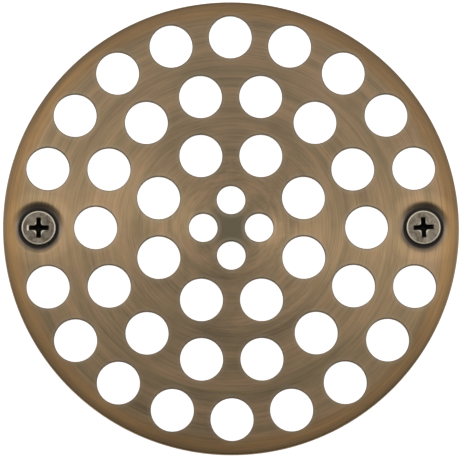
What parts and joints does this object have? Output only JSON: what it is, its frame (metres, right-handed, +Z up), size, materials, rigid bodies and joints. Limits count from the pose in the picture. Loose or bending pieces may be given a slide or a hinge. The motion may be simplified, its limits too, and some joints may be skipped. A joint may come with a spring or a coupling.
{
  "type": "floor drain grate",
  "caption": "Round floor drain grate: flat perforated sheet-metal strainer with concentric rings of drain holes, held down by countersunk cross-recess screws in pressed dimples.",
  "frame": {"origin": "centre of the plate's flat underside, the face that lies on the drain body's ledge", "axes": "+Z up out of the floor, square to the plate; X through the two screws; the pressed dimples and the screws reach below the origin, into the drain body"},
  "size_m": [0.1016, 0.1016, 0.0191],
  "materials": {
    "antique_brass": "antique oxidised finish, brushed in circles, satin",
    "antique_screw": "dull plated, fine grain"
  },
  "bodies": {
    "plate": {"strainer_plate": "antique_brass"},
    "screw_left": {"screw_left": "antique_screw"},
    "screw_right": {"screw_right": "antique_screw"}
  },
  "joints": [
    {"name": "screw_left_withdraw", "type": "slide", "parent": "plate", "child": "screw_left", "axis": [0, 0, 1], "range_m": [0, 0.022]},
    {"name": "screw_right_withdraw", "type": "slide", "parent": "plate", "child": "screw_right", "axis": [0, 0, 1], "range_m": [0, 0.022]}
  ]
}
